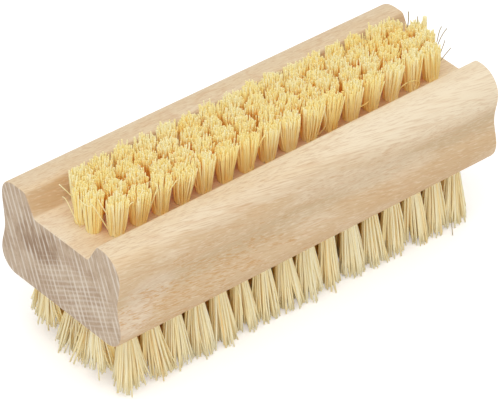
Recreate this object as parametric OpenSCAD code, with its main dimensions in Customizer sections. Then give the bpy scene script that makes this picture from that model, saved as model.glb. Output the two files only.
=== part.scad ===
// Two-sided wooden nail brush. One moulded wooden body carries a narrow field of
// fibre tufts in its channel and a wider, flared field under it. Every tuft is a
// bundle folded over a flat wire anchor at the bottom of its own blind bore.
// X runs along the brush, Z points up, and Z = 0 is the plane of the lower tips.

/* [Wooden body] */
// Length of the body
body_length = 95; // [84:1:120]
// Width across the lower swell of the sides
body_width = 36; // [34:0.5:44]
// Width across the waist grooves of the sides
waist_width = 34; // [31:0.5:34]
// Width across the two rails, outside to outside
rail_span = 35.4; // [34.5:0.1:37]
// Height from the underside to the rail tops
body_height = 21.2; // [20:0.2:25]
// Height of the waist above the underside
waist_height = 10.4; // [8:0.2:13]
// Radius of the two lower edges
edge_radius = 4.4; // [2.5:0.1:4.8]
// Radius of each rail's outer shoulder
shoulder_radius = 5.2; // [3:0.1:5.6]

/* [Channel] */
// Width of the channel floor between the rails
channel_width = 15.9; // [15:0.1:16.6]
// Distance by which the channel is cut off the middle, towards -Y
channel_offset = 0.25; // [0:0.05:0.4]
// Height of the channel floor above the underside
floor_height = 16.6; // [15.4:0.1:18]
// Angle by which the channel walls lean outwards
wall_lean = 30; // [10:1:34]
// Radius of each rail's inner lip
lip_radius = 1.2; // [0.6:0.1:1.6]
// Radius where a channel wall meets the floor
floor_fillet = 0.8; // [0.4:0.1:1.2]

/* [Upper tufts] */
// Tufts in each outer row of the upper field; the rows inside hold one more
upper_tufts = 16; // [12:1:16]
// Distance from the near end of the body to the first tuft centre
upper_near_margin = 6.6; // [4:0.1:9]
// Distance from the last tuft centre to the far end of the body
upper_far_margin = 4.1; // [3:0.1:9]
// Distance from the edge of the channel floor to the outer row
upper_side_margin = 2.7; // [2.2:0.05:2.9]
// Diameter of the upper bores
upper_bore_d = 2.8; // [2.2:0.1:2.9]
// Depth of the upper bores
upper_bore_depth = 6; // [5:0.1:6.4]
// Height of the upper tips above the channel floor
upper_tuft_height = 8.4; // [6:0.1:12]
// Angle by which the outer rows of the upper field lean outwards
upper_flare = 3; // [0:0.5:5]
// Height by which the upper tips differ from their mean
tip_unevenness = 0.4; // [0:0.1:0.8]

/* [Lower tufts] */
// Tufts in each outer row of the lower field; every second row holds one more
lower_tufts = 16; // [12:1:16]
// Distance from each end of the body to the nearest tuft centre
lower_end_margin = 3.3; // [3:0.1:8]
// Distance from the edge of the flat underside to the outer row
lower_side_margin = 1.8; // [1.6:0.1:3]
// Diameter of the lower bores
lower_bore_d = 2.6; // [2.2:0.1:3]
// Depth of the lower bores
lower_bore_depth = 6.5; // [5:0.1:7]
// Height of the lower tufts, from the underside to the trimmed tips
lower_tuft_height = 13; // [8:0.5:16]
// Angle by which the outer rows of the lower field lean outwards
lower_flare = 10; // [0:0.5:12]

/* [Anchors] */
// Thickness of the flat wire
anchor_thickness = 0.35; // [0.2:0.05:0.5]
// Width of the flat wire, along the bore
anchor_width = 1.5; // [1:0.1:2]
// Depth to which each end of the wire bites into the wood
anchor_bite = 0.6; // [0.3:0.1:0.8]
// Thickness of the folded fibres between the wire and the bottom of the bore
fold_height = 0.8; // [0.5:0.1:1.2]

/* [Hidden] */

// Gap between a tuft root and its bore
root_clearance = 0.05;
// Gap round an anchor in the wood and in the fold
anchor_clearance = 0.03;
// Overrun of every cut past the face that it opens
cut_overrun = 1;
// Depth at which the strands start inside the root
strand_root = 1;
// Chords in a quarter turn of the outline's arcs, and in each side curve
arc_chords = 12;
side_chords = 10;
// Roundness of bores and roots
bore_fn = 32;

// Strands in a tuft, and the inner and outer corners of their kite-shaped sections
// as shares of the root's radius
strands = 3;
kite_inner_share = 0.14;
kite_outer_share = 0.92;
// Angle from a kite's middle to each of its side corners
kite_angle = 50;
// Share of the tuft's cell that its tips fill
splay_share = 0.86;
// Turns of phase, in degrees, that scatter the tip heights
tuft_phase = 137;
strand_phase = 211;

// The two fields, named by index in the lists below
UPPER = 0;
LOWER = 1;
rows = [4, 6];
outer_count = [upper_tufts, lower_tufts];
bore_r = [upper_bore_d / 2, lower_bore_d / 2];
bore_depth = [upper_bore_depth, lower_bore_depth];
tuft_height = [upper_tuft_height, lower_tuft_height];
flare = [upper_flare, lower_flare];
unevenness = [tip_unevenness, 0];
near_margin = [upper_near_margin, lower_end_margin];
far_margin = [upper_far_margin, lower_end_margin];
field_half_width = [
    channel_width / 2 - upper_side_margin,
    body_width / 2 - edge_radius - lower_side_margin
];

body_bottom = lower_tuft_height;
mouth_z = [body_bottom + floor_height, body_bottom];
wood_color = "#dcc4a2";
fibre_color = "#ecd79c";
wire_color = "#b9b6ae";

// Even spacing of the tufts along a field and of its rows across it
function tuft_pitch(f) = (body_length - near_margin[f] - far_margin[f]) / outer_count[f];
function row_pitch(f) = 2 * field_half_width[f] / (rows[f] - 1);

// Every second row, counted inwards from the sides, is staggered and holds one more
function row_count(f, row) = outer_count[f] + min(row, rows[f] - 1 - row) % 2;
function row_y(f, row) = row_pitch(f) * (row - (rows[f] - 1) / 2);
function row_tilt(f, row) = flare[f] * row_y(f, row) / field_half_width[f];
function field_shift(f) = (near_margin[f] - far_margin[f]) / 2;
function tuft_x(f, row, k) = field_shift(f) + tuft_pitch(f) * (k - (row_count(f, row) - 1) / 2);

// Points on an arc of radius r round [cy, cz], from angle a to angle b
function arc(cy, cz, r, a, b, chords) =
    [for (i = [0:chords]) let (t = a + (b - a) * i / chords) [cy + r * cos(t), cz + r * sin(t)]];

// Points on a smooth half wave from one place to another, without its two ends
function half_wave(from, to) =
    [for (i = [1:side_chords - 1])
        let (t = i / side_chords, s = (1 - cos(180 * t)) / 2)
        [from[0] + (to[0] - from[0]) * s, from[1] + (to[1] - from[1]) * t]];

// Half of the body's outline, from the underside round the rail to the channel floor
// The floor ends at reach from the middle, and a shoulder is no wider than its rail's crown
function half_outline(reach) =
    let (
        lip_z = body_height - lip_radius,
        lip_y = reach + (lip_z - floor_height) * tan(wall_lean) + lip_radius / cos(wall_lean),
        shoulder = min(shoulder_radius, rail_span / 2 - lip_y),
        swell = [body_width / 2, edge_radius],
        waist = [waist_width / 2, waist_height],
        rail = [rail_span / 2, body_height - shoulder],
        fillet_y = reach + floor_fillet * (tan(wall_lean) - 1 / cos(wall_lean))
    )
    concat(
        arc(swell[0] - edge_radius, edge_radius, edge_radius, -90, 0, arc_chords),
        half_wave(swell, waist),
        [waist],
        half_wave(waist, rail),
        arc(rail[0] - shoulder, rail[1], shoulder, 0, 90, arc_chords),
        arc(lip_y, lip_z, lip_radius, 90, 180 - wall_lean, arc_chords / 2),
        arc(fillet_y, floor_height + floor_fillet, floor_fillet, -wall_lean, -90, arc_chords / 2)
    );

function reversed(list) = [for (i = [len(list) - 1:-1:0]) list[i]];
function mirrored(list) = [for (p = list) [-p[0], p[1]]];

module body_outline() {
    right = half_outline(channel_width / 2 - channel_offset);
    left = half_outline(channel_width / 2 + channel_offset);
    polygon(concat(right, mirrored(reversed(left))));
}

// Children of this module stand on a bore's mouth, with Z out of the wood
module at_mouth(f, row, k) {
    translate([tuft_x(f, row, k), row_y(f, row), mouth_z[f]])
        mirror([0, 0, f])
            children();
}

// Children of this module also lean with the bore
module along_bore(f, row, k) {
    at_mouth(f, row, k)
        rotate([-row_tilt(f, row), 0, 0])
            children();
}

// Flat wire across a bore, with a gap on every side for the cut that receives it
module wire(f, gap) {
    length = 2 * (bore_r[f] + anchor_bite + gap);
    translate([0, 0, fold_height + anchor_width / 2 - bore_depth[f]])
        cube([length, anchor_thickness + 2 * gap, anchor_width + 2 * gap], center = true);
}

module bore(f) {
    translate([0, 0, -bore_depth[f]])
        cylinder(h = bore_depth[f] + cut_overrun, r = bore_r[f], $fn = bore_fn);
    wire(f, anchor_clearance);
}

module body() {
    color(wood_color)
        difference() {
            translate([0, 0, body_bottom])
                rotate([90, 0, 90])
                    linear_extrude(height = body_length, center = true)
                        body_outline();
            for (f = [UPPER, LOWER])
                for (row = [0:rows[f] - 1])
                    for (k = [0:row_count(f, row) - 1])
                        along_bore(f, row, k)
                            bore(f);
        }
}

// Folded root of a tuft, with the passage that its anchor fills
module root(f) {
    length = bore_depth[f] - root_clearance;
    difference() {
        translate([0, 0, -length])
            cylinder(h = length, r = bore_r[f] - root_clearance, $fn = bore_fn);
        wire(f, anchor_clearance);
    }
}

// Corners of a strand's kite-shaped section on a circle of radius one
function strand_section(k, m) =
    let (middle = 90 + 180 * (k % 2) + 360 / strands * m)
    concat(
        [kite_inner_share / kite_outer_share * [cos(middle), sin(middle)]],
        [for (side = [-1:1]) let (a = middle + kite_angle * side) [cos(a), sin(a)]]
    );

// One four-sided strand, widening from the root to a tip that is cut level
module strand(f, row, k, m) {
    base_r = kite_outer_share * (bore_r[f] - root_clearance);
    tip_rx = splay_share * tuft_pitch(f) / 2;
    tip_ry = splay_share * row_pitch(f) / 2;
    tip = tuft_height[f] + unevenness[f] * sin(tuft_phase * (k + row) + strand_phase * m);
    lean = tan(row_tilt(f, row));
    section = strand_section(k, m);
    points = concat(
        [for (c = section) [base_r * c[0], base_r * c[1] - strand_root * lean, -strand_root]],
        [for (c = section) [tip_rx * c[0], tip_ry * c[1] + tip * lean, tip]]
    );
    sides = [for (i = [0:3]) let (j = (i + 1) % 4) each [[i, i + 4, j], [j, i + 4, j + 4]]];
    ends = [[0, 1, 2], [0, 2, 3], [4, 6, 5], [4, 7, 6]];
    polyhedron(points = points, faces = concat(sides, ends));
}

module tuft_row(f, row) {
    color(fibre_color)
        for (k = [0:row_count(f, row) - 1]) {
            union() {
                along_bore(f, row, k)
                    root(f);
                at_mouth(f, row, k)
                    for (m = [0:strands - 1])
                        strand(f, row, k, m);
            }
        }
}

module anchor_row(f, row) {
    color(wire_color)
        for (k = [0:row_count(f, row) - 1])
            along_bore(f, row, k)
                wire(f, 0);
}

body();
tuft_row(UPPER, 0);  // upper_tufts_row_1
tuft_row(UPPER, 1);  // upper_tufts_row_2
tuft_row(UPPER, 2);  // upper_tufts_row_3
tuft_row(UPPER, 3);  // upper_tufts_row_4
tuft_row(LOWER, 0);  // lower_tufts_row_1
tuft_row(LOWER, 1);  // lower_tufts_row_2
tuft_row(LOWER, 2);  // lower_tufts_row_3
tuft_row(LOWER, 3);  // lower_tufts_row_4
tuft_row(LOWER, 4);  // lower_tufts_row_5
tuft_row(LOWER, 5);  // lower_tufts_row_6
anchor_row(UPPER, 0);  // upper_anchors_row_1
anchor_row(UPPER, 1);  // upper_anchors_row_2
anchor_row(UPPER, 2);  // upper_anchors_row_3
anchor_row(UPPER, 3);  // upper_anchors_row_4
anchor_row(LOWER, 0);  // lower_anchors_row_1
anchor_row(LOWER, 1);  // lower_anchors_row_2
anchor_row(LOWER, 2);  // lower_anchors_row_3
anchor_row(LOWER, 3);  // lower_anchors_row_4
anchor_row(LOWER, 4);  // lower_anchors_row_5
anchor_row(LOWER, 5);  // lower_anchors_row_6
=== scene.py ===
import math

import bpy
import numpy as np
from mathutils import Matrix, Vector


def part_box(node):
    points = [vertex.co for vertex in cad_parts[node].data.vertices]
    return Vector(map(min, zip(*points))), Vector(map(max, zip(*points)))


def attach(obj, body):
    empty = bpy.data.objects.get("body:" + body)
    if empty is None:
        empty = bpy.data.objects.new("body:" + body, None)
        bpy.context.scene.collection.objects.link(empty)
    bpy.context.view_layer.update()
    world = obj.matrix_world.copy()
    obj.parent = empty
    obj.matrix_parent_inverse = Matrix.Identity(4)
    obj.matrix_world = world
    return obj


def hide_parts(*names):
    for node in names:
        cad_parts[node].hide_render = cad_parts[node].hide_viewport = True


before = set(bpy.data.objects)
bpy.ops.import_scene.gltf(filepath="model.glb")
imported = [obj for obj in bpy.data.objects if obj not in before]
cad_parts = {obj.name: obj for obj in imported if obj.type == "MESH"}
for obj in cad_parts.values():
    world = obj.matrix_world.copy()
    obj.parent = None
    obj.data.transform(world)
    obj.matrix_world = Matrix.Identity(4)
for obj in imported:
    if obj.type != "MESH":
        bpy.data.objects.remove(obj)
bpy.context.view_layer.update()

# Every size below is in millimetres and every angle in degrees; meshes are written in metres
MM = 0.001
body_low, body_high = (np.array(corner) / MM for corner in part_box("body"))
BODY_LENGTH, BODY_WIDTH, BODY_HEIGHT = body_high - body_low
UNDERSIDE = body_low[2]

# Wooden body
WAIST_WIDTH = 34.0
WAIST_HEIGHT = 10.4
RAIL_SPAN = 35.4
EDGE_RADIUS = 4.4
SHOULDER_RADIUS = 5.2
# The rail on the +Y side is worn less round, above all at its near end
FAR_SHOULDER_RADII = (3.7, 4.7)
CHANNEL_WIDTH = 15.9
CHANNEL_OFFSET = 0.25
FLOOR_HEIGHT = 16.6
WALL_LEAN = 30.0
LIP_RADIUS = 1.2
FLOOR_FILLET = 0.8
EASED_EDGE = 0.35
EASE_STEPS = 4
QUARTER_CHORDS = 24
WAVE_CHORDS = 20
BORE_SIDES = 32
BORE_OVERRUN = 1.0
SHARP_ANGLE = 35.0
# A face whose centre lies this close to an end of the body is part of the flat sawn end
END_TOLERANCE = EASED_EDGE / 100

# Flat wire that holds each tuft, and the fold of the fibres under it
WIRE_THICKNESS = 0.35
FOLD_HEIGHT = 0.8

# The two fields of tufts. Outer is the count of tufts in an outer row, near and far are the margins
# from the body's ends to the first and last bores of a longer row, and mouth is the height at which
# bores open. Half width and flare are the outer rows' distance from the middle and their lean, and
# bore and depth are a bore's diameter and depth. The rest shapes the fibres. Shifts and rises have
# one value for each row, and move the tips at its near or far end
UPPER = {
    "name": "upper", "up": 1, "rows": 4, "outer": 16, "near": 6.6, "far": 4.1,
    "mouth": UNDERSIDE + FLOOR_HEIGHT, "half_width": CHANNEL_WIDTH / 2 - 2.7, "flare": 3.0,
    "bore": 2.8, "depth": 6.0, "height": 8.5, "ragged": 0.38, "strands": 60, "thickness": 0.375,
    "dome": 1.0, "spread": (2.45, 1.9), "splay": 0.8, "bow": 0.12, "clump_pull": 0.18, "clump_rise": 0.18,
    "near_shift": (0.2, 0.2, 0.5, 0.4), "far_shift": (-1.2, -1.3, -0.3, -0.5),
    "near_rise": (0, 0, 0, 0), "far_rise": (0, 0, -0.4, -0.8), "fray": 0.0, "seed": 11,
}
LOWER = {
    "name": "lower", "up": -1, "rows": 6, "outer": 16, "near": 3.3, "far": 3.3,
    "mouth": UNDERSIDE, "half_width": BODY_WIDTH / 2 - EDGE_RADIUS - 1.8, "flare": 10.0,
    "bore": 2.6, "depth": 6.5, "height": 12.3, "ragged": 0.45, "strands": 56, "thickness": 0.42,
    "dome": 0.0, "spread": (3.15, 2.7), "splay": 1.05, "bow": 0.22, "clump_pull": 0.25, "clump_rise": 0.35,
    "near_shift": (-0.4, 0.8, -0.6, -0.8, 2.2, 0.9), "far_shift": (-1.2, -0.4, 0, 0, 0, 0),
    "near_rise": (-1.2, -2.6, -0.6, -0.4, -2.4, -2.0), "far_rise": (0, 0, 0, 0, 0, 0),
    "fray": 1.2, "seed": 29,
}

# Fibres
TUBE_SIDES = 5
# Shares of the free length at which a fibre's path has its points
RISE_SHARES = np.array([0.0, 0.25, 0.5, 0.75, 1.0])
# Golden angle in radians, by which each strand of a spiral is turned from the one before
GOLDEN_TURN = math.pi * (3 - math.sqrt(5))
# Thinnest and thickest strand as shares of the mean, and flattest and roundest as shares of round
THICKNESS_SHARES = (0.8, 1.15)
FLATNESS_SHARES = (0.6, 1.0)
# Share of its thickness that a fibre loses at the tip
TIP_TAPER = 0.15
# How far a bundle swells over the rim of its bore, its play in the bore, how much narrower each half
# is beside the wire, and the spread of the distances by which roots are out of their places
MOUTH_SWELL = 0.15
BORE_PLAY = 0.02
WIRE_SQUEEZE = 0.35
ROOT_SCATTER = 0.04
# Narrowest and widest tuft as shares of the mean, and the spread of the angles by which tufts lean
TUFT_SPREAD_SHARES = (0.9, 1.1)
TUFT_LEAN = 1.5
# Spread of the angles by which fibres stray, and of the few that stand away from the tuft, and the
# share of the fibres that do
STRAY = 1.3
WILD_STRAY = 5.0
WILD_SHARE = 0.035
# Share of the fibres that were cut long, and the least and most by which they are longer
LONG_SHARE = 0.06
LONG_EXTRA = (0.3, 1.3)
# Clumps that the tips of a tuft gather in
CLUMPS = 10
# Distance from a row's end over which its fray and the rise of its tips fall to about a third, and
# the share of its fray by which a tuft is wider
END_REACH = 7.0
FRAY_SPREAD = 0.3
# Height over the floor below which the middle of no fibre reaches
FLOOR_GAP = 0.1
# Tone of the strands, from pale at nothing to deep at one: its mean, and by how much strands and
# whole tufts differ
TONE_MEAN = 0.45
STRAND_TONE_SPREAD = 0.18
TUFT_TONE_SPREAD = 0.08
# Depth in a field of tufts at which its fibres take the full painted golden shade
SHADE_DEPTH = 3.5

# Loose fibres: radius, tone, and four points that the fibre passes through. A tone of 2 gives the
# painted grey shade of a fibre seen against the light, and the one thick fibre is several stuck together
LOOSE_FIBRES = [
    # Over the near end of the channel
    (0.11, 0.3, ((-44.9, 3.3, 39), (-44.2, 3, 38), (-43.2, 2.9, 36.6), (-42, 3, 34.8))),
    (0.1, 0.2, ((-44.6, 2.8, 36.3), (-43.9, 2.3, 35.2), (-43.3, 1.5, 32.8), (-42.4, 0.4, 29.7))),
    # Across the first tufts
    (0.13, 0.4, ((-42.9, -3.6, 37.4), (-42.3, -4.5, 36.1), (-40.2, -4.9, 31.5), (-39.1, -4.3, 29.7))),
    (0.12, 0.3, ((-41, -3.3, 37.6), (-40.8, -4.1, 36.4), (-40.4, -4.7, 35.2), (-40, -5, 33.9))),
    (0.1, 0.2, ((-43.3, -0.8, 37), (-43.2, -1.6, 36.7), (-42.9, -2.4, 36.5), (-42.3, -3.1, 36.3))),
    # Beside the tufts of the first row
    (0.1, 0.2, ((-36.9, -6.6, 33.3), (-36.9, -7, 35.4), (-36.7, -7.3, 36.6), (-36, -7.4, 36.9))),
    (0.1, 0.3, ((-32.5, -6.9, 32.7), (-32.6, -7.2, 34.1), (-32.3, -7.4, 34.8), (-31.7, -7.5, 34.9))),
    (0.11, 0.4, ((-27.4, -6.8, 34.3), (-26.9, -7, 35.2), (-26.2, -7.2, 36.1), (-25.4, -7.2, 36.9))),
    (0.12, 0.4, ((13.4, -4.6, 37.9), (12.5, -5.1, 38), (11.4, -5.7, 37.9), (10.3, -6.2, 37.8))),
    (0.13, 0.6, ((11.4, -7.2, 37.8), (10.4, -7, 36.4), (9.6, -6.8, 34.2), (9.9, -6.3, 31.7))),
    (0.13, 0.3, ((12.9, -5.2, 38.1), (11.2, -7.3, 36.1), (11.9, -7, 32.9), (11.1, -5.8, 29.8))),
    (0.16, 0.2, ((16.2, -7.3, 37.3), (16, -7.2, 35.7), (15.8, -6.9, 33.7), (15.7, -6.4, 31.5))),
    (0.09, 0.9, ((20.7, -6.8, 32.6), (21.3, -7, 32.7), (22.1, -7, 32.8), (23.3, -6.8, 32.9))),
    (0.1, 0.7, ((31.4, -6.6, 31.8), (32.3, -7.2, 33.1), (35, -7.2, 32.7), (36.3, -6.9, 30.6))),
    # Out of the last tufts
    (0.12, 2, ((43.4, 4.6, 39), (43.5, 4.6, 38.1), (43.5, 4.6, 36.6), (43.2, 4.6, 34.7))),
    (0.11, 2, ((43.7, 2.2, 39), (43.7, 2.2, 38.5), (43.7, 2.2, 37.4), (43.7, 2.2, 35.8))),
    (0.1, 2, ((45.5, -2.8, 38.5), (45, -2.8, 37.7), (44.7, -2.8, 36.6), (44.4, -2.8, 35.3))),
    (0.1, 2, ((46.8, -3, 37.6), (45.8, -3, 36.8), (45, -3, 35.7), (44.4, -3, 34.4))),
    (0.09, 2, ((44.8, -4.6, 36.5), (44.5, -4.6, 35.6), (44, -4.6, 34.4), (43.5, -4.6, 32.9))),
    (0.1, 2, ((46.2, -5, 34.3), (45.1, -5, 33.6), (43.9, -5, 32.7), (42.6, -5, 31.5))),
    (0.5, 0.1, ((44.2, 0.7, 39.5), (44.2, 0.7, 38.2), (44.1, 0.8, 36.8), (44, 0.9, 35.3))),
    # Under the body
    (0.1, 0.5, ((-46.9, 9.9, 9.2), (-46.7, 9.6, 10.3), (-46.4, 9.4, 11.4), (-46, 9.3, 12.6))),
    (0.12, 0.2, ((-17.4, -17.4, 7.1), (-17.2, -16.9, 8.6), (-17.1, -16.2, 10.3), (-17.1, -15.2, 12.5))),
    (0.1, 2, ((36.9, -17.8, 0.2), (37.3, -17.1, 1.2), (37.4, -16.8, 2.4), (37.5, -16.4, 3.6))),
]
LOOSE_POINTS = 9
LOOSE_FLATNESS = 0.85

# Camera: the point it looks at, its distance and angles, and its sensor, lens and nearest distance
AIM = (-2.69, -2.07, UNDERSIDE + 5.55)
CAMERA_DISTANCE = 810.8
CAMERA_AZIMUTH = 41.13
CAMERA_ELEVATION = 36.76
CAMERA_ROLL = 1.12
SENSOR_WIDTH = 36.0
LENS = 303.7
CLIP_START = 10.0


def linear(colour):
    """Linear colour of an sRGB hex value: a twelfth of it near black, and a power of 2.4 above."""
    channels = (int(colour[i:i + 2], 16) / 255 for i in (1, 3, 5))
    return [c / 12.92 if c <= 0.04045 else ((c + 0.055) / 1.055) ** 2.4 for c in channels] + [1.0]


def arc(centre_y, centre_z, radius, start, end, chords):
    """Points at even angles on a circle of that radius round the centre, from start to end."""
    angle = np.radians(np.linspace(start, end, chords + 1))
    return np.stack([centre_y + radius * np.cos(angle), centre_z + radius * np.sin(angle)], axis=1)


def half_wave(low, high):
    """Points between low and high: even steps in height, and half a cosine wave across."""
    rise = np.linspace(0, 1, WAVE_CHORDS + 1)[1:-1]
    across = (1 - np.cos(math.pi * rise)) / 2
    return np.stack([low[0] + (high[0] - low[0]) * across, low[1] + (high[1] - low[1]) * rise], axis=1)


def half_outline(reach, shoulder_radius):
    """Half of the cross-section, from the underside round the rail to the channel floor, which ends
    at reach from the middle: a corner arc, a wave to the waist, a wave to the rail, the shoulder's
    arc, the lip's arc and the arc into the floor."""
    lean = math.radians(WALL_LEAN)
    lip_z = BODY_HEIGHT - LIP_RADIUS
    lip_y = reach + (lip_z - FLOOR_HEIGHT) * math.tan(lean) + LIP_RADIUS / math.cos(lean)
    fillet_y = reach + FLOOR_FILLET * (math.tan(lean) - 1 / math.cos(lean))
    swell = (BODY_WIDTH / 2, EDGE_RADIUS)
    waist = (WAIST_WIDTH / 2, WAIST_HEIGHT)
    rail = (RAIL_SPAN / 2, BODY_HEIGHT - shoulder_radius)
    return np.concatenate([
        arc(swell[0] - EDGE_RADIUS, EDGE_RADIUS, EDGE_RADIUS, -90, 0, QUARTER_CHORDS),
        half_wave(swell, waist),
        [waist],
        half_wave(waist, rail),
        arc(rail[0] - shoulder_radius, rail[1], shoulder_radius, 0, 90, QUARTER_CHORDS),
        arc(lip_y, lip_z, LIP_RADIUS, 90, 180 - WALL_LEAN, QUARTER_CHORDS // 2),
        arc(fillet_y, FLOOR_HEIGHT + FLOOR_FILLET, FLOOR_FILLET, -WALL_LEAN, -90, QUARTER_CHORDS // 2),
    ])


def body_outline(far_shoulder_radius):
    """The body's cross-section, anticlockwise seen from +X. The channel is cut a little towards -Y."""
    right = half_outline(CHANNEL_WIDTH / 2 - CHANNEL_OFFSET, far_shoulder_radius)
    left = half_outline(CHANNEL_WIDTH / 2 + CHANNEL_OFFSET, SHOULDER_RADIUS)
    return np.concatenate([right, left[::-1] * (-1, 1)]) + (0, UNDERSIDE)


def swept_body():
    """The outline carried along X, and changing evenly from one end's to the other's. At both ends
    it draws in by a quarter circle, so that a station's inset is the eased radius times one minus
    the sine of the angle reached."""
    angle = np.linspace(0, math.pi / 2, EASE_STEPS + 1)
    near_x = EASED_EDGE * (1 - np.cos(angle)) - BODY_LENGTH / 2
    near_inset = EASED_EDGE * (1 - np.sin(angle))
    stations = np.concatenate([near_x, -near_x[::-1]])
    inset = np.concatenate([near_inset, near_inset[::-1]])
    near, far = (body_outline(radius) for radius in FAR_SHOULDER_RADII)
    share = stations[:, None, None] / BODY_LENGTH + 0.5
    outlines = near + (far - near) * share
    along = np.roll(outlines, -1, axis=1) - np.roll(outlines, 1, axis=1)
    outward = np.stack([along[..., 1], -along[..., 0]], axis=2)
    outward /= np.linalg.norm(outward, axis=2, keepdims=True)
    count = len(near)
    rings = np.empty((len(stations), count, 3))
    rings[:, :, 0] = stations[:, None]
    rings[:, :, 1:] = outlines - inset[:, None, None] * outward
    corner = np.arange(count)
    following = (corner + 1) % count
    start = np.arange(len(stations) - 1)[:, None] * count
    next_start = start + count
    walls = (start + corner, start + following, next_start + following, next_start + corner)
    last = (len(stations) - 1) * count
    ends = [corner[::-1].tolist(), (last + corner).tolist()]
    faces = np.stack(walls, axis=2).reshape(-1, 4).tolist() + ends
    return new_mesh("wood", rings.reshape(-1, 3), faces)


def new_mesh(name, vertices, faces):
    """A mesh of these vertices, given in millimetres, and faces."""
    mesh = bpy.data.meshes.new(name)
    mesh.from_pydata((np.asarray(vertices) * MM).tolist(), [], faces)
    mesh.update()
    return mesh


def new_piece(name, mesh):
    """An object at the origin that shows this mesh."""
    piece = bpy.data.objects.new(name, mesh)
    bpy.context.scene.collection.objects.link(piece)
    return piece


def row_places(field, row):
    """Where a row's bores open: x for each tuft, and the row's y and lean. Spacing is even, and a
    staggered row has one tuft more."""
    pitch = (BODY_LENGTH - field["near"] - field["far"]) / field["outer"]
    count = field["outer"] + min(row, field["rows"] - 1 - row) % 2
    middle = (field["near"] - field["far"]) / 2
    x = middle + pitch * (np.arange(count) - (count - 1) / 2)
    share = 2 * row / (field["rows"] - 1) - 1
    return x, field["half_width"] * share, math.radians(field["flare"] * share)


def bore_cutters():
    """One closed cylinder for each bore, leaning with its row: circles at the bottom and above the
    mouth, each the mouth's centre plus a height along the leaning axis and a radius square to it."""
    turn = np.linspace(0, 2 * math.pi, BORE_SIDES, endpoint=False)
    vertices = []
    faces = []
    for field in (UPPER, LOWER):
        for row in range(field["rows"]):
            x, y, lean = row_places(field, row)
            axis = np.array([0, math.sin(lean), field["up"] * math.cos(lean)])
            side = np.array([1.0, 0, 0])
            front = np.cross(axis, side)
            circle = field["bore"] / 2 * (np.cos(turn)[:, None] * side + np.sin(turn)[:, None] * front)
            for centre_x in x:
                mouth = np.array([centre_x, y, field["mouth"]])
                first = len(vertices) * BORE_SIDES
                vertices.append(mouth - axis * field["depth"] + circle)
                vertices.append(mouth + axis * BORE_OVERRUN + circle)
                low = first + np.arange(BORE_SIDES)
                low_next = first + (np.arange(BORE_SIDES) + 1) % BORE_SIDES
                walls = np.stack([low, low_next, low_next + BORE_SIDES, low + BORE_SIDES], axis=1)
                faces += walls.tolist() + [low[::-1].tolist(), (low + BORE_SIDES).tolist()]
    return new_piece("bore_cutters", new_mesh("bore_cutters", np.concatenate(vertices), faces))


def bored_body():
    """The swept body less its bores, smooth but for its true edges and its flat ends."""
    piece = new_piece("wooden_body", swept_body())
    cutters = bore_cutters()
    cut = piece.modifiers.new("bores", "BOOLEAN")
    cut.operation = "DIFFERENCE"
    cut.solver = "EXACT"
    cut.object = cutters
    bpy.context.view_layer.update()
    cut_piece = piece.evaluated_get(bpy.context.evaluated_depsgraph_get())
    bored = bpy.data.meshes.new_from_object(cut_piece)
    piece.modifiers.clear()
    piece.data = bored
    bored.name = "wooden_body"
    bpy.data.objects.remove(cutters)
    centres = np.empty(len(bored.polygons) * 3)
    bored.polygons.foreach_get("center", centres)
    at_end = np.abs(centres.reshape(-1, 3)[:, 0]) > (BODY_LENGTH / 2 - END_TOLERANCE) * MM
    bored.polygons.foreach_set("use_smooth", ~at_end)
    bored.set_sharp_from_angle(angle=math.radians(SHARP_ANGLE))
    return piece


def fibre_tubes(name, paths, radii, flatness, tone, depth, turn):
    """Many fibres as one mesh. Each point of a path carries a ring: the point plus its radius times
    the cosine and sine of each corner's angle, along two unit vectors square to the path, of which
    the second is shortened by the fibre's flatness. The mesh keeps each fibre's tone, and for each
    point how deep it lies in the field of tufts."""
    count, points, _ = paths.shape
    tangent = np.gradient(paths, axis=1)
    tangent /= np.linalg.norm(tangent, axis=2, keepdims=True)
    across = np.stack([np.cos(turn), np.sin(turn), np.zeros(count)], axis=1)[:, None, :]
    side = np.cross(tangent, across)
    side /= np.linalg.norm(side, axis=2, keepdims=True)
    front = np.cross(tangent, side) * flatness[:, None, None]
    angle = 2 * math.pi * np.arange(TUBE_SIDES) / TUBE_SIDES
    spoke = np.cos(angle)[:, None] * side[:, :, None, :] + np.sin(angle)[:, None] * front[:, :, None, :]
    rings = paths[:, :, None, :] + radii[:, :, None, None] * spoke
    corner = np.arange(TUBE_SIDES)
    following = (corner + 1) % TUBE_SIDES
    ring = np.arange(points - 1)[:, None] * TUBE_SIDES
    next_ring = ring + TUBE_SIDES
    walls = (ring + corner, ring + following, next_ring + following, next_ring + corner)
    first = np.arange(count)[:, None] * points * TUBE_SIDES
    quads = (first[:, :, None] + np.stack(walls, axis=2).reshape(-1, 4)).ravel()
    caps = np.concatenate([first + corner[::-1], first + (points - 1) * TUBE_SIDES + corner]).ravel()
    quad_starts = np.arange(0, quads.size, 4)
    cap_starts = quads.size + np.arange(0, caps.size, TUBE_SIDES)
    starts = np.concatenate([quad_starts, cap_starts])
    mesh = bpy.data.meshes.new(name)
    mesh.vertices.add(count * points * TUBE_SIDES)
    mesh.vertices.foreach_set("co", (rings * MM).ravel())
    mesh.loops.add(quads.size + caps.size)
    mesh.loops.foreach_set("vertex_index", np.concatenate([quads, caps]))
    mesh.polygons.add(len(starts))
    mesh.polygons.foreach_set("loop_start", starts)
    mesh.polygons.foreach_set("use_smooth", starts < quads.size)
    mesh.update(calc_edges=True)
    each_point = np.ones((count, points, TUBE_SIDES))
    values = {"tone": tone[:, None, None] * each_point, "depth": depth[:, :, None] * each_point}
    for attribute, value in values.items():
        mesh.attributes.new(attribute, "FLOAT", "POINT").data.foreach_set("value", value.ravel())
    return mesh


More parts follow.
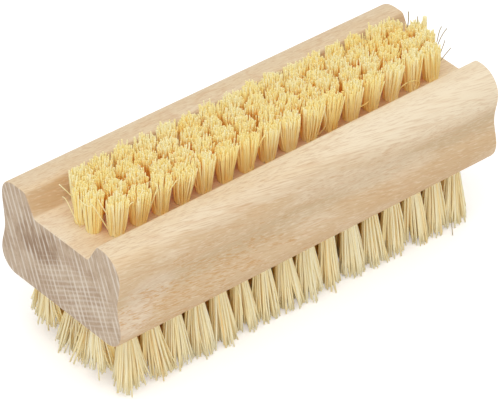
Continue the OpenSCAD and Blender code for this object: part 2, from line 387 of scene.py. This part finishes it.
def unit_places(strands):
    """Where a tuft's strands lie in a circle of radius one, as x and y for each strand's two ends,
    and how far out they lie. First ends are on a golden spiral folded onto one half of the circle,
    where the distance out grows with the square root of a strand's number. Second ends are opposite
    them, across the wire."""
    number = np.arange(strands)
    out = np.sqrt((number + 0.5) / strands)
    angle = (number * GOLDEN_TURN) % math.pi
    return np.stack([np.outer(out * np.cos(angle), (1, 1)), np.outer(out * np.sin(angle), (1, -1))]), out


def bundle_roots(field, unit, tufts, rng):
    """Where the strands leave the bore, where they pass the wire, and where they fold under it. The
    first is the unit place times the bundle's radius, which swells over the rim, plus a scatter. At
    the wire the bundle is as narrow as the bore, and the wire parts its two halves."""
    strands = unit.shape[1]
    thickness = field["thickness"]
    root_radius = field["bore"] / 2 + MOUTH_SWELL - thickness / 2
    held_share = (field["bore"] / 2 - BORE_PLAY - thickness / 2) / root_radius
    root = root_radius * unit[:, None] + rng.normal(0, ROOT_SCATTER, (2, tufts, strands, 2))
    beside_wire = (WIRE_THICKNESS + thickness) / 2 * np.array([1, -1])
    held = np.empty((3, tufts, strands, 2))
    held[0] = held_share * root[0]
    held[1] = beside_wire + (root_radius - WIRE_SQUEEZE) * unit[1]
    held[2] = FOLD_HEIGHT - field["depth"]
    fold = np.zeros((3, tufts, strands))
    fold[0] = held_share * root[0].mean(axis=2)
    fold[2] = FOLD_HEIGHT / 2 - field["depth"]
    return root, held, fold


def tuft_tips(field, row, x, unit, out, rng):
    """Where the strands' tips stand from the middle of the mouth, how high, and how far they bow.
    Across: the unit place times the tuft's spread, the height times the tangent of the tuft's lean
    plus the strand's stray angle, and a share of the way to the nearest clump. Height: the field's,
    the rise at the row's ends, a raggedness, what a long strand has more and the clump's rise, less
    the dome, which grows with the square of the distance out. Fray adds to the spread, the stray
    angles and the share of long strands. It falls off exponentially from the row's near end, and
    each rise from its own end."""
    tufts = len(x)
    size = (tufts, field["strands"], 2)
    spread = np.reshape(field["spread"], (2, 1, 1, 1))
    from_near = np.exp((x[0] - x) / END_REACH)[:, None, None]
    from_far = np.exp((x - x[-1]) / END_REACH)[:, None, None]
    fray = 1 + field["fray"] * from_near
    tuft_spread = rng.uniform(*TUFT_SPREAD_SHARES, (tufts, 1, 1)) * (1 + FRAY_SPREAD * (fray - 1))
    tuft_lean = np.radians(rng.normal(0, TUFT_LEAN, (2, tufts, 1, 1)))
    stray_spread = np.where(rng.random(size) < WILD_SHARE, WILD_STRAY, STRAY * fray)
    stray = np.radians(rng.normal(0, 1, (2, *size)) * stray_spread)
    extra = np.where(rng.random(size) < LONG_SHARE * fray, rng.uniform(*LONG_EXTRA, size), 0)
    bow = rng.normal(0, field["bow"], (2, *size))
    tip = spread * tuft_spread * unit[:, None] + field["height"] * np.tan(stray + tuft_lean)
    tip[0, 0] += field["near_shift"][row]
    tip[0, -1] += field["far_shift"][row]
    clump_out = np.sqrt(rng.uniform(0, 1, (tufts, 1, 1, CLUMPS)))
    clump_angle = rng.uniform(0, 2 * math.pi, (tufts, 1, 1, CLUMPS))
    clump_rise = rng.normal(0, field["clump_rise"], (tufts, 1, 1, CLUMPS))
    clump = spread[..., None] * clump_out * np.stack([np.cos(clump_angle), np.sin(clump_angle)])
    gap = clump - tip[..., None]
    nearest = np.argmin((gap ** 2).sum(axis=0), axis=-1)[..., None]
    tip = tip + field["clump_pull"] * np.take_along_axis(gap, nearest[None], axis=-1)[..., 0]
    end_rise = field["near_rise"][row] * from_near + field["far_rise"][row] * from_far
    height = field["height"] + end_rise + rng.normal(0, field["ragged"], size) + extra
    height = height + np.take_along_axis(clump_rise, nearest, axis=-1)[..., 0]
    return tip, height - field["dome"] * out[:, None] ** 2, bow


def strand_paths(field, root, held, fold, tip, tip_height, bow):
    """Each strand from its first tip down to the fold and up to its second tip, measured from its
    bore's mouth. Above the mouth, at each share of the height, a point is the root, plus the way to
    the tip times a power of the share, plus the bow times four times the share times what is left
    of it."""
    rise = RISE_SHARES[:, None, None, None]
    splay = rise ** field["splay"]
    arch = 4 * rise * (1 - rise)
    across = root[:, None] + (tip - root)[:, None] * splay + bow[:, None] * arch
    free = np.concatenate([across, (tip_height * rise)[None]])
    ends = np.concatenate([held[:, None], free], axis=1)
    return np.concatenate([ends[:, ::-1, ..., 0], fold[:, None], ends[..., 1]], axis=1)


def depth_in_field(field, x, paths):
    """How deep each point lies in the field, from nothing to one, which sets its painted golden shade: its
    least distance in from the flaring sides, the ends and the tips, over the shade depth."""
    height = field["up"] * (paths[..., 2] - field["mouth"])
    bore_radius = field["bore"] / 2
    side_y = field["half_width"] + bore_radius + math.tan(math.radians(field["flare"])) * height
    inward = np.stack([
        side_y - np.abs(paths[..., 1]),
        paths[..., 0] - (x[0] - bore_radius),
        x[-1] + bore_radius - paths[..., 0],
        field["height"] - height,
    ])
    return np.clip(inward.min(axis=0) / SHADE_DEPTH, 0, 1)


def fibre_row(field, row):
    """One row of tufts. Each strand folds under the wire and stands out of the bore with both ends,
    shifted sideways with its height by the tangent of the row's lean. Its radius tapers with the
    fourth power of the share of the height."""
    rng = np.random.default_rng(field["seed"] + row)
    x, y, lean = row_places(field, row)
    tufts, strands = len(x), field["strands"]
    unit, out = unit_places(strands)
    strand_radius = field["thickness"] / 2 * rng.uniform(*THICKNESS_SHARES, (tufts, strands))
    root, held, fold = bundle_roots(field, unit, tufts, rng)
    tip, tip_height, bow = tuft_tips(field, row, x, unit, out, rng)
    across_x, across_y, height = strand_paths(field, root, held, fold, tip, tip_height, bow)
    places = np.stack([
        across_x + x[None, :, None],
        across_y + y + math.tan(lean) * height,
        np.maximum(field["mouth"] + field["up"] * height, FLOOR_GAP),
    ])
    paths = places.transpose(2, 3, 1, 0).reshape(tufts * strands, -1, 3)
    half = np.concatenate([[0.0], RISE_SHARES])
    along = np.concatenate([half[::-1], [0.0], half])
    radii = strand_radius.reshape(-1, 1) * (1 - TIP_TAPER * along ** 4)
    strand_tone = TONE_MEAN + rng.normal(0, STRAND_TONE_SPREAD, (tufts, strands))
    tone = np.clip(strand_tone + rng.normal(0, TUFT_TONE_SPREAD, (tufts, 1)), 0, 1).ravel()
    turn = rng.uniform(-math.pi / 4, math.pi / 4, tufts * strands)
    flatness = rng.uniform(*FLATNESS_SHARES, tufts * strands)
    depth = depth_in_field(field, x, paths)
    name = f"{field['name']}_fibres_row_{row + 1}"
    return new_piece(name, fibre_tubes(name, paths, radii, flatness, tone, depth, turn))


def loose_fibres():
    """Single fibres that have come away. Each is the cubic curve through its four points, which it
    passes at even steps: every point's weight is the product, over the other three, of the distance
    to that step over the distance between the two steps."""
    radius, tone, points = (np.array(column) for column in zip(*LOOSE_FIBRES))
    along = np.linspace(0, 1, LOOSE_POINTS)
    steps = np.linspace(0, 1, points.shape[1])
    weights = []
    for i, step in enumerate(steps):
        others = np.delete(steps, i)
        weights.append(np.prod((along[:, None] - others) / (step - others), axis=1))
    paths = np.einsum("wt,nwc->ntc", np.stack(weights), points)
    radii = radius[:, None] * np.ones(LOOSE_POINTS)
    flatness = np.full(len(radius), LOOSE_FLATNESS)
    depth = np.zeros(radii.shape)
    turn = np.zeros(len(radius))
    mesh = fibre_tubes("loose_fibres", paths, radii, flatness, tone, depth, turn)
    return new_piece("loose_fibres", mesh)


def add_node(tree, kind, inputs=None, **settings):
    """Adds a node with these settings. Inputs maps a socket's name or number to its value, or to the
    other node's socket that it is linked to."""
    node = tree.nodes.new(kind)
    for setting, value in settings.items():
        setattr(node, setting, value)
    for socket, value in (inputs or {}).items():
        if isinstance(value, bpy.types.NodeSocket):
            tree.links.new(value, node.inputs[socket])
        else:
            node.inputs[socket].default_value = value
    return node


def new_material(name, **shader_values):
    """A material with one Principled shader that has these values; returns it, its tree and shader."""
    material = bpy.data.materials.new(name)
    material.use_nodes = True
    tree = material.node_tree
    shader = tree.nodes["Principled BSDF"]
    for socket, value in shader_values.items():
        shader.inputs[socket.replace("_", " ")].default_value = value
    return material, tree, shader


# Sockets of a Mix node that mixes colours
MIX_SHARE, MIX_FIRST, MIX_SECOND, MIX_RESULT = 0, 6, 7, 2


def painted(tree, ground, layers):
    """Layers of colour on a ground. Each layer is its mask's socket, the mask's values where the
    colour starts and where it is full, the colour, and the share that it covers there."""
    colour = ground
    for mask, start, full, paint, share in layers:
        cover = add_node(
            tree, "ShaderNodeMapRange", interpolation_type="SMOOTHSTEP",
            inputs={"Value": mask, "From Min": start, "From Max": full, "To Max": share},
        )
        mixed = add_node(
            tree, "ShaderNodeMix", data_type="RGBA",
            inputs={MIX_SHARE: cover.outputs["Result"], MIX_FIRST: colour, MIX_SECOND: paint},
        )
        colour = mixed.outputs[MIX_RESULT]
    return colour


# The grain runs along the body but for a slight fall towards +X and a slight turn towards -Y, and
# the rays lean by this angle from upright, towards +Y
GRAIN = (1.0, -0.1, -0.13)
RAY_LEAN = 22.0
# Lengths of each pattern's features along the grain, across the rays and along the rays
GRAIN_LENGTHS = {
    "haze": (24, 7, 6),
    "tan": (42, 8, 5),
    "arch": (44, 9, 4),
    "cluster": (9, 3, 2.5),
    "streak": (11, 0.5, 0.5),
    "dash": (1.9, 0.22, 0.22),
    "pale_dash": (2.2, 0.3, 0.3),
    "fibre": (5, 0.17, 0.2),
    "end_band": (30, 9, 2.6),
    "end_blotch": (30, 1.2, 3.0),
    "end_speck": (4, 0.3, 0.4),
    "end_break": (30, 1.6, 4.0),
}
# Places where the wood's colour differs, some of them painted shade: the centre of each, and its reach
# along X, Y and Z
WOOD_PATCHES = {
    "near_side": ((-32, -17.5, UNDERSIDE + 6), (85, 22, 26)),
    "far_crown": ((44, -13, UNDERSIDE + 21), (52, 14, 10)),
    "near_wall_tint_and_shade": ((-20, 9.3, UNDERSIDE + 18.7), (300, 3.2, 4)),
    "tufted_floor_shade": ((3, 0, UNDERSIDE + FLOOR_HEIGHT), (47, 14, 2.5)),
    "near_bay": ((-46, 0, UNDERSIDE + FLOOR_HEIGHT), (9, 12, 2.5)),
    "near_swell": ((-45, -17.5, UNDERSIDE + 6.5), (7, 3, 4.5)),
    "waist_tint_and_shade": ((0, -17, UNDERSIDE + 11), (400, 4, 3.6)),
    "near_waist": ((-40, -17.2, UNDERSIDE + 11.2), (8, 4, 4.5)),
    "far_side": ((28, -17.8, UNDERSIDE + 4.5), (42, 5, 5)),
    "far_rail": ((0, 14, UNDERSIDE + 21), (400, 4.5, 4)),
    "hatched_end": ((-47.5, -6, UNDERSIDE + 6), (6, 24, 13)),
    "brown_heart": ((-47.5, 6.2, UNDERSIDE + 11.5), (6, 11, 8)),
}
# Level of its slow pattern at which a growth line lies on the long grain
ARCH_LEVEL = 0.52
# A wave texture of scale one repeats at this distance
WAVE_REPEAT = 2 * math.pi / 20
# Distances on the end grain from ray to ray and from growth line to growth line, before they waver
RAY_SPACING = 1.35
RING_SPACING = 1.0
# The growth lines are drawn out in width by this factor, and then turned to rise towards -Y
RING_WIDTH = 5
RING_TURN = 41


def grain_turn():
    """The rotation that takes the direction along the grain to X, the one across the rays to Y, and
    the one along the rays to Z."""
    along = Vector(GRAIN).normalized()
    ray = Vector((0, math.sin(math.radians(RAY_LEAN)), math.cos(math.radians(RAY_LEAN))))
    across = ray.cross(along).normalized()
    return Matrix((along, across, along.cross(across))).to_euler()


def patch(tree, place, centre, reach):
    """A mask that is one at the centre and falls evenly to nothing at the reach along each axis."""
    centred = add_node(
        tree, "ShaderNodeMapping", vector_type="TEXTURE",
        inputs={"Vector": place, "Location": [c * MM for c in centre], "Scale": [r * MM for r in reach]},
    ).outputs["Vector"]
    return add_node(
        tree, "ShaderNodeTexGradient", {"Vector": centred}, gradient_type="SPHERICAL"
    ).outputs["Fac"]


def grain_pattern(tree, turned, lengths):
    """Noise whose features have these lengths along the grain, across the rays and along the rays."""
    stretched = add_node(
        tree, "ShaderNodeMapping", {"Vector": turned, "Scale": [1 / length for length in lengths]}
    ).outputs["Vector"]
    return add_node(
        tree, "ShaderNodeTexNoise", {"Vector": stretched, "Scale": 1, "Detail": 2}
    ).outputs["Fac"]


def orange_flecks(tree, noise, patches):
    """A mask of short dashes that lie in clusters, mostly on the near half of the side: the dashes
    times the clusters, so that each fleck stays a dash of its own."""
    clustered = add_node(
        tree, "ShaderNodeMath", {0: noise["cluster"], 1: patches["near_side"]}, operation="MULTIPLY"
    ).outputs["Value"]
    clusters = add_node(
        tree, "ShaderNodeMapRange",
        {"Value": clustered, "From Min": 0.3, "From Max": 0.42, "To Min": 0.5, "To Max": 0.8},
    ).outputs["Result"]
    return add_node(
        tree, "ShaderNodeMath", {0: clusters, 1: noise["dash"]}, operation="MULTIPLY"
    ).outputs["Value"]


def long_grain(tree, place, noise, patches):
    """Colour of wood cut along the grain: cream on the crowns and tan on the sides, with orange
    flecks, and growth lines where a slow pattern passes one level, which draws long arches. The tan
    on the sides, deeper towards the underside, is painted shade, as are part of the darker tint in
    the waist groove and on the channel's +Y wall, and the brown of the channel floor between tufts."""
    split = add_node(tree, "ShaderNodeSeparateXYZ", {"Vector": place})
    height = split.outputs["Z"]
    off_middle = add_node(
        tree, "ShaderNodeMath", {0: split.outputs["Y"]}, operation="ABSOLUTE"
    ).outputs["Value"]
    from_level = add_node(
        tree, "ShaderNodeMath", {0: noise["arch"], 1: ARCH_LEVEL}, operation="SUBTRACT"
    ).outputs["Value"]
    arches = add_node(tree, "ShaderNodeMath", {0: from_level}, operation="ABSOLUTE").outputs["Value"]
    flecks = orange_flecks(tree, noise, patches)
    return painted(tree, linear("#ECD5B1"), [
        # Painted shade: the upright sides tan, and darker still towards the underside
        (off_middle, 15.6 * MM, 17.3 * MM, linear("#D2B48C"), 0.8),
        (height, (UNDERSIDE + 7) * MM, UNDERSIDE * MM, linear("#CBA779"), 0.5),
        # Partly painted shade of the waist groove, partly the wood's own greyer tint there
        (patches["waist_tint_and_shade"], 0.1, 0.7, linear("#C2AB85"), 0.4),
        (patches["far_crown"], 0.0, 0.45, linear("#F6E6C9"), 0.85),
        # Partly the wood's tan figure, partly painted shade that the tufts cast on the channel's +Y wall
        (patches["near_wall_tint_and_shade"], 0.2, 0.42, linear("#C9A67C"), 0.85),
        # Painted shade on the channel floor between the tufts
        (patches["tufted_floor_shade"], 0.03, 0.3, linear("#BC8750"), 0.7),
        (patches["near_bay"], 0.1, 0.6, linear("#F2E2CA"), 0.6),
        (noise["tan"], 0.5, 0.66, linear("#DDB888"), 0.35),
        (noise["haze"], 0.52, 0.64, linear("#F0DFC4"), 0.36),
        (patches["near_swell"], 0.05, 0.5, linear("#E8D6BE"), 0.6),
        (patches["near_waist"], 0.05, 0.5, linear("#E8D6BE"), 0.5),
        (patches["far_side"], 0.1, 0.6, linear("#C89A5E"), 0.22),
        (patches["far_rail"], 0.2, 0.8, linear("#D8C09C"), 0.4),
        (arches, 0.02, 0.0, linear("#CFA274"), 0.28),
        (noise["streak"], 0.5, 0.72, linear("#D9B286"), 0.35),
        (noise["pale_dash"], 0.5, 0.7, linear("#F5E6CC"), 0.3),
        (flecks, 0.4, 0.5, linear("#C89048"), 0.6),
        (noise["fibre"], 0.48, 0.68, linear("#C69D70"), 0.45),
        (patches["far_crown"], 0.1, 0.7, linear("#F4E2C2"), 0.35),
    ])


def end_grain(tree, turned, noise, patches):
    """Colour of wood cut across the grain: thin pale rays, broken where a slow pattern is weak, over
    brown growth bands, and fine pale growth lines that cross the rays on one side. Both are drawn
    out along the grain, and the rays also along their own length."""
    ring_turn = math.radians(RING_TURN)
    ray_place = add_node(
        tree, "ShaderNodeMapping", {"Vector": turned, "Scale": (1 / 20, 1, 1 / 16)}
    ).outputs["Vector"]
    rays = add_node(
        tree, "ShaderNodeTexWave", bands_direction="Y",
        inputs={
            "Vector": ray_place, "Scale": WAVE_REPEAT / RAY_SPACING,
            "Distortion": 3.2, "Detail": 2, "Detail Scale": 1.2,
        },
    ).outputs["Fac"]
    ring_place = add_node(
        tree, "ShaderNodeMapping",
        inputs={
            "Vector": turned, "Rotation": (ring_turn, 0, 0),
            "Scale": (1 / 20, 1 / RING_WIDTH, 1 / math.cos(ring_turn)),
        },
    ).outputs["Vector"]
    rings = add_node(
        tree, "ShaderNodeTexWave", bands_direction="Z",
        inputs={
            "Vector": ring_place, "Scale": WAVE_REPEAT / RING_SPACING,
            "Distortion": 3.4, "Detail": 3, "Detail Scale": 1.3,
        },
    ).outputs["Fac"]
    broken_rays, crossing, blotched = (
        add_node(tree, "ShaderNodeMath", {0: pattern, 1: limit}, operation="MULTIPLY").outputs["Value"]
        for pattern, limit in (
            (rays, noise["end_break"]),
            (rings, patches["hatched_end"]),
            (noise["end_blotch"], patches["brown_heart"]),
        )
    )
    return painted(tree, linear("#C5AE94"), [
        (noise["end_band"], 0.46, 0.62, linear("#B0947A"), 0.6),
        (noise["end_blotch"], 0.5, 0.72, linear("#A68A6C"), 0.5),
        (blotched, 0.12, 0.42, linear("#8E6E50"), 0.8),
        (noise["end_speck"], 0.5, 0.75, linear("#9E8366"), 0.45),
        (crossing, 0.25, 0.75, linear("#E0D4C4"), 0.4),
        (broken_rays, 0.28, 0.56, linear("#E4D8C8"), 0.7),
    ])


def moulded_beech():
    """Beech, moulded and sanded, with no lacquer: a dull surface that shows end grain where it faces
    along the body, and long grain elsewhere."""
    material, tree, shader = new_material("moulded_beech", Roughness=0.62)
    coordinates = add_node(tree, "ShaderNodeTexCoord")
    place = coordinates.outputs["Object"]
    turned = add_node(
        tree, "ShaderNodeMapping",
        {"Vector": place, "Rotation": grain_turn(), "Scale": (1 / MM,) * 3},
    ).outputs["Vector"]
    noise = {name: grain_pattern(tree, turned, lengths) for name, lengths in GRAIN_LENGTHS.items()}
    patches = {name: patch(tree, place, *sizes) for name, sizes in WOOD_PATCHES.items()}
    facing = add_node(tree, "ShaderNodeSeparateXYZ", {"Vector": coordinates.outputs["Normal"]})
    across_grain = add_node(
        tree, "ShaderNodeMath", {0: facing.outputs["X"]}, operation="ABSOLUTE"
    ).outputs["Value"]
    colour = painted(tree, long_grain(tree, place, noise, patches), [
        (across_grain, 0.75, 0.95, end_grain(tree, turned, noise, patches), 1.0),
    ])
    tree.links.new(colour, shader.inputs["Base Color"])
    # Open grain: the fibres leave furrows a few hundredths of a millimetre deep
    bump = add_node(
        tree, "ShaderNodeBump", {"Height": noise["fibre"], "Strength": 0.5, "Distance": 0.04 * MM}
    )
    tree.links.new(bump.outputs["Normal"], shader.inputs["Normal"])
    return material


def bleached_tampico(name, pale, middle, deep, painted_shade):
    """Tampico, the leaf fibre of an agave, combed and trimmed but not dyed: pale straw to honey from
    fibre to fibre, with a soft waxy shine. Deep in the tufts a painted golden shade stands for light
    that reaches there only after many bounces, and fibres of tone two get the painted grey shade of
    fibres seen against the light."""
    material, tree, shader = new_material(name, Roughness=0.5, Specular_IOR_Level=0.2)
    tone = add_node(tree, "ShaderNodeAttribute", attribute_name="tone").outputs["Fac"]
    depth = add_node(tree, "ShaderNodeAttribute", attribute_name="depth").outputs["Fac"]
    place = add_node(tree, "ShaderNodeTexCoord").outputs["Object"]
    # Each fibre also changes colour along its length, every few millimetres
    mottled = add_node(
        tree, "ShaderNodeTexNoise", {"Vector": place, "Scale": 1 / (2.5 * MM), "Detail": 1}
    ).outputs["Fac"]
    colour = painted(tree, linear(pale), [
        (tone, 0.25, 0.65, linear(middle), 0.9),
        (tone, 0.7, 0.95, linear(deep), 0.8),
        (mottled, 0.5, 0.75, linear(middle), 0.4),
        # Painted shade: golden where the fibres lie deep in the field of tufts
        (depth, 0.1, 1.0, linear(painted_shade), 0.85),
        # Painted shade: fibres of tone two grey, as fibres look against the light
        (tone, 1.2, 1.8, linear("#A4977C"), 0.9),
    ])
    tree.links.new(colour, shader.inputs["Base Color"])
    bump = add_node(tree, "ShaderNodeBump", {"Height": mottled, "Strength": 0.3, "Distance": 0.03 * MM})
    tree.links.new(bump.outputs["Normal"], shader.inputs["Normal"])
    return material


def drawn_steel():
    """Tinned steel wire, drawn and rolled flat: fine lines along it and a soft metal shine."""
    material, tree, shader = new_material("drawn_steel", Metallic=1.0, Roughness=0.35)
    place = add_node(tree, "ShaderNodeTexCoord").outputs["Object"]
    # Drawing lines 0.05 mm apart that run along X, as the wires do
    stretched = add_node(
        tree, "ShaderNodeMapping",
        {"Vector": place, "Scale": (1 / (4 * MM), 1 / (0.05 * MM), 1 / (0.05 * MM))},
    ).outputs["Vector"]
    lines = add_node(
        tree, "ShaderNodeTexNoise", {"Vector": stretched, "Scale": 1, "Detail": 2}
    ).outputs["Fac"]
    colour = painted(tree, linear("#B9B6AE"), [(lines, 0.4, 0.7, linear("#918D84"), 0.6)])
    tree.links.new(colour, shader.inputs["Base Color"])
    rough = add_node(tree, "ShaderNodeMapRange", {"Value": lines, "To Min": 0.28, "To Max": 0.5})
    tree.links.new(rough.outputs["Result"], shader.inputs["Roughness"])
    return material


def dress(piece, material):
    """The piece wears this material and rides on the one body."""
    piece.data.materials.clear()
    piece.data.materials.append(material)
    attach(piece, "root")


def build_camera():
    """The camera looks along the azimuth and elevation at the aim, and is then rolled about its view."""
    azimuth = math.radians(CAMERA_AZIMUTH)
    elevation = math.radians(CAMERA_ELEVATION)
    roll = math.radians(CAMERA_ROLL)
    forward = Vector((
        math.cos(elevation) * math.sin(azimuth),
        math.cos(elevation) * math.cos(azimuth),
        -math.sin(elevation),
    ))
    level = Vector((math.cos(azimuth), -math.sin(azimuth), 0))
    right = level * math.cos(roll) + level.cross(forward) * math.sin(roll)
    up = right.cross(forward)
    turned = Matrix((right, up, -forward)).transposed().to_4x4()
    data = bpy.data.cameras.new("camera")
    data.sensor_fit = "HORIZONTAL"
    data.sensor_width = SENSOR_WIDTH
    data.lens = LENS
    data.clip_start = CLIP_START * MM
    camera = bpy.data.objects.new("camera", data)
    camera.matrix_world = Matrix.Translation((Vector(AIM) - forward * CAMERA_DISTANCE) * MM) @ turned
    bpy.context.scene.collection.objects.link(camera)
    bpy.context.scene.camera = camera


def soft_light(name, direction, distance, size, level):
    """A square lamp that faces the object. Its level is what it adds to a white card that faces it,
    so its power is the level times pi squared times the distance squared."""
    away = Vector(direction).normalized()
    turned = away.to_track_quat("Z", "Y").to_matrix().to_4x4()
    data = bpy.data.lights.new(name, "AREA")
    data.size = size * MM
    data.energy = level * (math.pi * distance * MM) ** 2
    lamp = bpy.data.objects.new(name, data)
    lamp.matrix_world = Matrix.Translation((Vector(AIM) + away * distance) * MM) @ turned
    bpy.context.scene.collection.objects.link(lamp)


# Lamps: direction from the object, distance, width, and what each adds to a white card that faces it
LAMPS = {
    "overhead_lamp": ((-0.25, -0.2, 1.0), 900, 700, 0.22),
    "side_lamp": ((-0.6, -0.8, 0.2), 1000, 700, 0.1),
}
# Light that comes evenly from all round, as it falls on dull surfaces
AMBIENT = 0.8
FLOOR_SIZE = 2600.0
# Light that the floor adds of its own where it is seen, so that it shows as plain white
FLOOR_GLOW = 0.35


def seen_rays(tree):
    """One for rays from the camera, off gloss and through glass, and nothing for all others."""
    ray = add_node(tree, "ShaderNodeLightPath")
    seen = ray.outputs["Is Camera Ray"]
    for kind in ("Is Glossy Ray", "Is Transmission Ray"):
        seen = add_node(
            tree, "ShaderNodeMath", {0: seen, 1: ray.outputs[kind]}, operation="MAXIMUM"
        ).outputs["Value"]
    return seen


def build_studio():
    """A white floor and surroundings that the camera sees as plain white, a broad lamp overhead and
    a weaker one low on the near side."""
    for name, sizes in LAMPS.items():
        soft_light(name, *sizes)
    world = bpy.data.worlds.new("surroundings")
    world.use_nodes = True
    bpy.context.scene.world = world
    tree = world.node_tree
    background = tree.nodes["Background"]
    background.inputs["Color"].default_value = (1, 1, 1, 1)
    strength = add_node(
        tree, "ShaderNodeMapRange", {"Value": seen_rays(tree), "To Min": AMBIENT, "To Max": 1.0}
    )
    tree.links.new(strength.outputs["Result"], background.inputs["Strength"])
    half = FLOOR_SIZE / 2
    corners = [(-half, -half, 0), (half, -half, 0), (half, half, 0), (-half, half, 0)]
    floor = new_piece("floor", new_mesh("floor", corners, [(0, 1, 2, 3)]))
    material, tree, shader = new_material("white_paper", Roughness=0.9)
    shader.inputs["Base Color"].default_value = linear("#F2F2F2")
    shader.inputs["Emission Color"].default_value = (1, 1, 1, 1)
    glow = add_node(tree, "ShaderNodeMapRange", {"Value": seen_rays(tree), "To Max": FLOOR_GLOW})
    tree.links.new(glow.outputs["Result"], shader.inputs["Emission Strength"])
    floor.data.materials.append(material)


build_camera()
build_studio()

body = bored_body()
dress(body, moulded_beech())
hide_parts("body")

upper_fibre = bleached_tampico("tampico_upper", "#FFF4C2", "#FFECA0", "#FFE188", "#FFD664")
lower_fibre = bleached_tampico("tampico_lower", "#FCF4D2", "#FCEDBC", "#FDE2A6", "#FFEA9A")
steel = drawn_steel()
for field, fibre in ((UPPER, upper_fibre), (LOWER, lower_fibre)):
    for row in range(field["rows"]):
        fibres = fibre_row(field, row)
        dress(fibres, fibre)
        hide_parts(f"{field['name']}_tufts_row_{row + 1}")
        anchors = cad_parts[f"{field['name']}_anchors_row_{row + 1}"]
        anchors.data.materials.clear()
        anchors.data.materials.append(steel)

dress(loose_fibres(), upper_fibre)

bpy.context.scene.view_settings.view_transform = "Standard"
# Light reaches the gaps between pale fibres only after many bounces
LIGHT_BOUNCES = 32
bpy.context.scene.cycles.max_bounces = LIGHT_BOUNCES
bpy.context.scene.cycles.diffuse_bounces = LIGHT_BOUNCES
